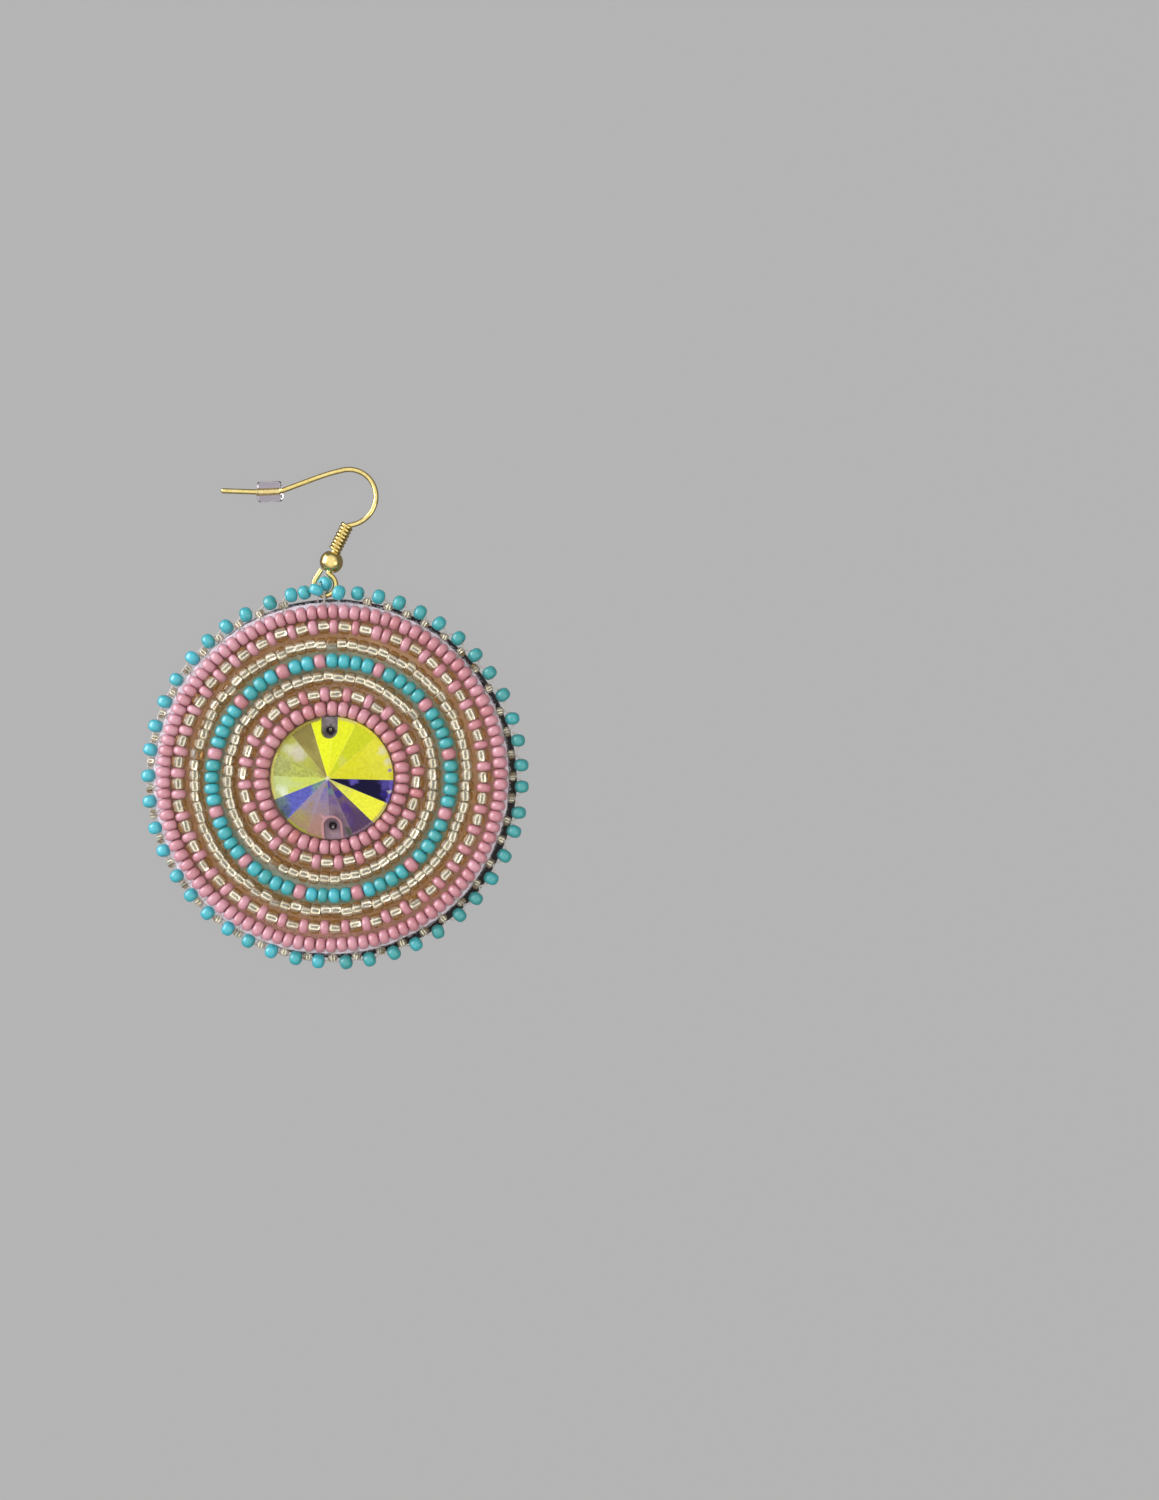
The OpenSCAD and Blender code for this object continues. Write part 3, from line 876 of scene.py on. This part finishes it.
# Coated stone. For each of its 16 facets, counterclockwise from the right: the colour near the point,
# of the face, of the wedge in its outer half and of the rim. Patches are blots on one facet, each with
# its azimuth, distance from the point, size, colour and strength. Pairs are shares of the radius between
# which one colour turns into the next, apart from the point's, which is in mm. A third number is the
# first colour's strength. speckle is the darkest and the brightest speck, and speckled its share off the
# mottled facets. In a pocket the spots' colour fades out over spotFade radii of its hole to spotRest.
stoneCoat = {
    "turn": -2.0, "radius": 8.9, "cloud": 0.14, "toFace": (0.12, 0.42), "toWedge": (0.42, 0.66),
    "wedgeBend": -0.2, "toRim": (0.958, 0.973), "rimWave": 0.018, "rimBeads": 43,
    "point": (0.12, 0.4, 0.8), "ridge": (0.012, 0.035, 0.1), "patchFade": (0.45, 1.15), "patchWarp": 1.6,
    "speckle": (0.72, 1.28), "speckled": 0.3,
    "palette": {
        "yellow": (0.67, 0.66, 0.025), "sulphur": (0.68, 0.68, 0.05), "lime": (0.53, 0.59, 0.02),
        "lemon": (0.66, 0.72, 0.02), "bright": (0.82, 0.84, 0.055), "straw": (0.60, 0.59, 0.16),
        "glintCream": (0.66, 0.65, 0.50), "bronze": (0.34, 0.29, 0.10), "khaki": (0.24, 0.21, 0.04),
        "olive": (0.18, 0.15, 0.025), "sand": (0.38, 0.34, 0.07),
        "pistachio": (0.31, 0.33, 0.035), "leaf": (0.30, 0.335, 0.045), "blushReflection": (0.43, 0.40, 0.28),
        "sage": (0.28, 0.31, 0.075), "paleLime": (0.44, 0.51, 0.09), "mint": (0.42, 0.50, 0.19),
        "frostReflection": (0.62, 0.68, 0.58), "sky": (0.14, 0.23, 0.19), "violet": (0.09, 0.10, 0.38),
        "teal": (0.11, 0.17, 0.14), "lilac": (0.27, 0.22, 0.29), "taupe": (0.29, 0.21, 0.135),
        "moss": (0.33, 0.34, 0.06), "periwinkle": (0.15, 0.15, 0.42), "mauve": (0.29, 0.21, 0.25),
        "rose": (0.35, 0.205, 0.165), "tan": (0.32, 0.235, 0.10), "slate": (0.05, 0.04, 0.32),
        "heather": (0.22, 0.15, 0.21), "plum": (0.145, 0.095, 0.125), "grape": (0.085, 0.05, 0.115),
        "navy": (0.006, 0.004, 0.035), "indigo": (0.035, 0.02, 0.26), "iris": (0.13, 0.10, 0.50),
        "royal": (0.075, 0.03, 0.24), "pine": (0.05, 0.08, 0.045), "smoke": (0.24, 0.21, 0.24),
        "holeShade": (0.012, 0.012, 0.016), "petal": (0.50, 0.27, 0.29),
    },
    "facets": [
        ("yellow", "yellow", "sulphur", "sulphur"), ("yellow", "yellow", "sulphur", "sulphur"),
        ("lime", "lime", "lime", "sulphur"), ("yellow", "lemon", "lemon", "straw"),
        ("lemon", "lemon", "lemon", "bronze"), ("olive", "khaki", "olive", "sand"),
        ("khaki", "pistachio", "pistachio", "sand"), ("leaf", "leaf", "sage", "straw"),
        ("paleLime", "paleLime", "mint", "straw"), ("sky", "violet", "violet", "teal"),
        ("lilac", "lilac", "taupe", "moss"), ("periwinkle", "mauve", "rose", "tan"),
        ("slate", "heather", "plum", "heather"), ("plum", "plum", "grape", "heather"),
        ("straw", "bright", "bright", "straw"), ("navy", "navy", "navy", "iris"),
    ],
    "mottled": (7, 9),
    # The pale cream, blush and frost patches and the small petal one on facet 11 are painted glints and
    # reflections
    "patches": {
        0: [(8, 8.4, 0.35, "iris", 0.8), (16, 8.4, 0.7, "glintCream", 0.8)],
        1: [(28, 8.4, 0.8, "glintCream", 0.7)],
        2: [(50, 3.0, 0.9, "straw", 0.45)],
        6: [(142, 5.9, 1.5, "blushReflection", 0.95), (146, 7.6, 1.0, "frostReflection", 0.3)],
        8: [(195, 7.2, 0.9, "frostReflection", 0.6)],
        9: [(211, 1.8, 1.0, "sky", 0.9), (205, 7.9, 1.2, "teal", 0.85), (216, 8.2, 0.9, "pine", 0.6)],
        10: [(240, 7.0, 1.6, "tan", 0.5), (229, 7.2, 1.0, "moss", 0.35)],
        11: [(252, 1.0, 0.5, "khaki", 0.7), (258, 5.6, 0.4, "petal", 0.8)],
        12: [(284, 1.8, 0.8, "sky", 0.8), (288, 8.2, 0.6, "pine", 0.8)],
        13: [(299, 2.6, 0.9, "indigo", 0.8), (296, 4.8, 1.1, "royal", 0.65),
             (295, 6.8, 1.1, "royal", 0.4), (307, 6.8, 1.3, "grape", 0.7)],
        15: [(353, 3.4, 0.6, "iris", 0.8), (354, 8.2, 1.2, "iris", 0.55),
             (343, 8.0, 0.7, "indigo", 0.6), (345, 8.6, 0.3, "glintCream", 0.8)],
    },
    "pockets": {
        "radius": 6.9, "width": 2.4, "hole": 0.78, "mottle": 0.45, "lineFade": 0.08, "edge": (-0.04, 0.02),
        "strongest": 0.75, "spotFade": (0.6, 1.4), "spotRest": 0.1,
        "top": {"azimuth": 92, "inside": "smoke", "spots": "holeShade", "outline": "lemon", "line": 0.1},
        "bottom": {"azimuth": 271, "inside": "mauve", "spots": "plum", "outline": "petal", "line": 0.3},
    },
}
nearlySame = 0.4  # how far apart two facet numbers still count as one


def facetRamp(tree, names, turned):
    ramp = addNode(tree, "ShaderNodeValToRGB", {0: turned})
    stops = ramp.color_ramp.elements
    ramp.color_ramp.interpolation = "CONSTANT"
    stops.remove(stops[-1])
    for i, name in enumerate(names):
        stop = stops[0] if i == 0 else stops.new(i / len(names))
        stop.color = (*stoneCoat["palette"][name], 1)
    return ramp.outputs["Color"]


def makePatchGroup():
    # a soft blot round one spot, kept inside one facet
    group, given, out = startGroup(
        "softPatch", {"Place": Vector((0, 0, 0)), "Spot": Vector((0, 0, 0)), "Size": 1.0, "Number": 0.0,
                      "Facet": 0.0, "Strength": 1.0}, {"Mask": "Float"})
    away = vectorCalc(group, "DISTANCE", given["Place"], given["Spot"])["Value"]
    share = calc(group, "DIVIDE", away, given["Size"])
    fade = spread(group, share, *stoneCoat["patchFade"], 1.0, 0.0)
    soft = calc(group, "MULTIPLY", fade, given["Strength"])
    same = calc(group, "COMPARE", given["Number"], given["Facet"], nearlySame)
    group.links.new(calc(group, "MULTIPLY", soft, same), out["Mask"])
    return group


def pocketDistances(tree, place, azimuth):
    # from the middle line of a slot that runs out over the rim, and from the middle of its sewing hole
    pocket = stoneCoat["pockets"]
    turned = addNode(tree, "ShaderNodeVectorRotate", {"Vector": place, "Angle": -math.radians(azimuth)},
                     rotation_type="Z_AXIS")
    parts = addNode(tree, "ShaderNodeSeparateXYZ", {0: turned.outputs[0]}).outputs
    past = calc(tree, "SUBTRACT", parts["X"], pocket["radius"] * mm)
    found = []
    for along in (calc(tree, "MINIMUM", past, 0.0), past):
        flat = addNode(tree, "ShaderNodeCombineXYZ", {0: along, 1: parts["Y"]}).outputs[0]
        found.append(vectorCalc(tree, "LENGTH", flat)["Value"])
    return found


def paintPockets(tree, place, colour):
    palette, pockets = stoneCoat["palette"], stoneCoat["pockets"]
    half, hole = pockets["width"] / 2 * mm, pockets["hole"] * mm
    cloud = wander(tree, Scale=1300.0, Detail=3.0, Low=-pockets["mottle"], High=pockets["mottle"])
    for look in (pockets["top"], pockets["bottom"]):
        distance, fromHole = pocketDistances(tree, place, look["azimuth"])
        line = half + look["line"] * mm
        outline = spread(tree, distance, line, line + pockets["lineFade"] * mm, pockets["strongest"], 0.0)
        colour = blend(tree, outline, colour, palette[look["outline"]])
        # painted shade: a dark spot over each sewing hole, fading outwards
        near, far = pockets["spotFade"]
        dark = spread(tree, fromHole, hole * near, hole * far, pockets["strongest"], pockets["spotRest"])
        dark = calc(tree, "ADD", dark, cloud)
        inside = blend(tree, dark, palette[look["inside"]], palette[look["spots"]])
        low, high = pockets["edge"]
        covered = spread(tree, distance, half + low * mm, half + high * mm, 1.0, 0.0)
        colour = blend(tree, covered, colour, inside)
    return colour


def paintFacets(tree, out, share):
    # each facet's own colours from the point to the rim, also its number and 0 to 1 across its half
    look = stoneCoat
    turned = calc(tree, "FRACT", share)
    facets = calc(tree, "MULTIPLY", turned, float(len(look["facets"])))
    number = calc(tree, "FLOOR", facets)
    across = calc(tree, "ABSOLUTE", calc(tree, "MULTIPLY_ADD", calc(tree, "FRACT", facets), 2.0, -1.0))
    cloud = wander(tree, Scale=500.0, Detail=5.0, Low=-look["cloud"], High=look["cloud"])
    heart, face, wedge, rim = (facetRamp(tree, names, turned) for names in zip(*look["facets"]))
    cloudy = calc(tree, "ADD", out, cloud)
    colour = blend(tree, spread(tree, cloudy, *look["toFace"]), heart, face)
    reach = calc(tree, "MULTIPLY_ADD", across, look["wedgeBend"], cloudy)
    colour = blend(tree, spread(tree, reach, *look["toWedge"]), colour, wedge)
    # the rim band's wavy edge, one wave per rimBeads, is a painted reflection of the beads round the stone
    wave = calc(tree, "SINE", calc(tree, "MULTIPLY", share, 2 * math.pi * look["rimBeads"]))
    edge = calc(tree, "MULTIPLY_ADD", calc(tree, "ABSOLUTE", wave), look["rimWave"], out)
    return blend(tree, spread(tree, edge, *look["toRim"]), colour, rim), number, across


def paintPatches(tree, place, flat, number, colour):
    look, softPatch = stoneCoat, makePatchGroup()
    shaken = noise(tree, place, scale=900.0, detail=2.0)["Color"]
    moved = vectorCalc(tree, "SUBTRACT", shaken, Vector((0.5, 0.5, 0.5)))["Vector"]
    warp = Vector((look["patchWarp"], look["patchWarp"], 0))
    warped = vectorCalc(tree, "MULTIPLY_ADD", moved, warp, flat)["Vector"]
    for facet, patches in look["patches"].items():
        for azimuth, radius, size, name, strength in patches:
            mask = useGroup(tree, softPatch, Place=warped, Spot=Vector(polar(azimuth, radius, 0)),
                            Size=size, Number=number, Facet=facet, Strength=strength)["Mask"]
            colour = blend(tree, mask, colour, look["palette"][name])
    return colour


def stoneMaterial():
    look, glintCream = stoneCoat, stoneCoat["palette"]["glintCream"]
    material, tree, shader = newMaterial("coatedStone", IOR=1.45, Coat_Weight=0.0, Specular_IOR_Level=0.1)
    place = objectPlace(tree)
    parts = addNode(tree, "ShaderNodeSeparateXYZ", {0: place}).outputs
    share = calc(tree, "MULTIPLY_ADD", calc(tree, "ARCTAN2", parts["Y"], parts["X"]), 1 / (2 * math.pi),
                 1 - look["turn"] / 360)
    # the place seen from above and its distance from the point, in mm
    flat = vectorCalc(tree, "MULTIPLY", place, Vector((1000, 1000, 0)))["Vector"]
    length = vectorCalc(tree, "LENGTH", flat)["Value"]
    out = calc(tree, "DIVIDE", length, look["radius"])
    colour, number, across = paintFacets(tree, out, share)
    colour = paintPatches(tree, place, flat, number, colour)
    # painted highlights: a pale glint at the point and a thin bright line on each ridge
    colour = blend(tree, spread(tree, length, *look["point"], 0.0), colour, glintCream)
    ridge = calc(tree, "MULTIPLY", calc(tree, "SUBTRACT", 1.0, across), out)
    colour = blend(tree, spread(tree, ridge, *look["ridge"], 0.0), colour, glintCream)
    low, high = look["speckle"]
    speck = wander(tree, Scale=2600.0, Detail=4.0, Low=low, High=high)
    mottled = [calc(tree, "COMPARE", number, facet, nearlySame) for facet in look["mottled"]]
    amount = spread(tree, calc(tree, "ADD", *mottled), 0.0, 1.0, look["speckled"], 1.0)
    colour = paintPockets(tree, place, blend(tree, amount, colour, speck, "MULTIPLY"))
    rough = wander(tree, Scale=900.0, Low=0.05, High=0.16)
    feed(tree, shader, Base_Color=colour, Roughness=rough)
    return material


# Two short strands from each sewing hole out and down again in its pocket, each knot given as its
# distance from the stone's point and its height over the felt
stitches = {
    "feltUnder": 1.05, "aside": 0.5, "spread": 0.15,
    "knots": [(6.75, 0.15), (6.87, 0.6), (7.05, 0.85), (7.25, 0.8), (7.35, 0.3)],
}


def makeStoneStitches():
    base = beadRows["height"] - stitches["feltUnder"]
    strands = []
    for pocket in (stoneCoat["pockets"]["top"], stoneCoat["pockets"]["bottom"]):
        for side in (-1, 1):
            knots = []
            for i, (radius, height) in enumerate(stitches["knots"]):
                aside = side * (stitches["aside"] + i * stitches["spread"])
                knots.append(polar(pocket["azimuth"] + aside, radius, base + height))
            strands.append(smoothPath(knots, steps=4))
    addPiece("stoneStitches", *together([tube(path, *threadLook["stitch"]) for path in strands]), paleNylon,
             "beading_thread")


def repaint(node, material):
    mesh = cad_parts[node].data
    mesh.materials.clear()
    mesh.materials.append(material)


makeStoneStitches()
repaint("stone", stoneMaterial())
repaint("ear_hook", goldPlate)
repaint("hook_ball", goldPlate)
print("stone and hook are finished")

# Coil and stopper, set on the hook's wire
coilLook = {
    "start": (0.205, 33.266), "heading": 63.5, "height": 1.7, "before": -0.08, "radius": 0.735,
    "wire": 0.24, "pitch": 0.54, "turns": 7.5, "steps": 36, "sides": 14,
}
stopperLook = {
    "middle": (-9.331, 41.767), "heading": 2.5, "height": 1.7, "radius": 1.475, "length": 3.5,
    "round": 0.28, "roundSteps": 6, "bore": 0.36, "sides": 40,
    "run": [(-7.58, 41.895), (-7.82, 41.845), (-8.082, 41.822), (-9.1, 41.777), (-10.13, 41.732),
            (-11.072, 41.728)],
}


def makeCoil():
    look = coilLook
    turned = Matrix.Translation((*look["start"], look["height"])) @ Matrix.Rotation(
        math.radians(look["heading"]), 4, "Z")
    path = []
    for i in range(round(look["turns"] * look["steps"]) + 1):
        turn = 2 * math.pi * i / look["steps"]
        spot = Vector((look["before"] + look["pitch"] * i / look["steps"],
                       -look["radius"] * math.cos(turn), look["radius"] * math.sin(turn)))
        path.append(tuple(turned @ spot))
    addPiece("woundCoil", *tube(path, look["wire"], look["sides"]), goldPlate, "gold_plate", ["hook_coil"])


def makeStopper():
    # outer skin from its right end to its left, then the bore back along the wire
    look, sides = stopperLook, stopperLook["sides"]
    x, y = look["middle"]
    turn = math.radians(look["heading"])
    half, lip = look["length"] / 2, look["round"]
    skin = [(half - lip + lip * math.sin(t), look["radius"] - lip + lip * math.cos(t))
            for t in np.linspace(math.pi / 2, 0, look["roundSteps"])]
    skin += [(-along, out) for along, out in skin[::-1]]
    spots = [(x + along * math.cos(turn), y + along * math.sin(turn), look["height"]) for along, _ in skin]
    outer = tubeRings(spots, [out for _, out in skin], sides)
    run = [(a, b, look["height"]) for a, b in look["run"]]
    inner = tubeRings(run, [look["bore"]] * len(run), sides)
    rings = len(skin)
    strips = [(i, i + 1, 1) for i in range(rings - 1)] + [(0, rings, -1)]
    strips += [(rings + i, rings + i + 1, -1) for i in range(len(run) - 1)]
    strips.append((rings - 1, rings + len(run) - 1, 1))
    faces = [(a * sides + k, a * sides + (k + 1) % sides, b * sides + (k + 1) % sides, b * sides + k)[::way]
             for a, b, way in strips for k in range(sides)]
    addPiece("stopperSleeve", np.concatenate([outer, inner]), faces, clearSilicone, "clear_silicone",
             ["ear_wire_stopper"])


makeCoil()
makeStopper()
print("coil and stopper are on")


def makeFloor():
    half, level = studio["floorSize"] * mm / 2, studio["floorLevel"] * mm
    corners = [(x * half, y * half, level) for x, y in ((-1, -1), (1, -1), (1, 1), (-1, 1))]
    mesh = bpy.data.meshes.new("floor")
    mesh.from_pydata(corners, [], [(0, 1, 2, 3)])
    floor = bpy.data.objects.new("floor", mesh)
    bpy.context.scene.collection.objects.link(floor)
    material, tree, shader = newMaterial("paleFloor", Base_Color=studio["floorPaint"], Roughness=0.9,
                                         Specular_IOR_Level=0.0, Emission_Strength=1.0)
    paths = addNode(tree, "ShaderNodeLightPath").outputs
    glow = blend(tree, paths["Is Glossy Ray"], studio["floorThroughGlass"], studio["floorInGloss"])
    glow = blend(tree, paths["Is Transmission Ray"], glow, studio["floorThroughGlass"])
    glow = blend(tree, paths["Is Camera Ray"], glow, studio["floorGlow"])
    feed(tree, shader, Emission_Color=glow)
    mesh.materials.append(material)


makeFloor()
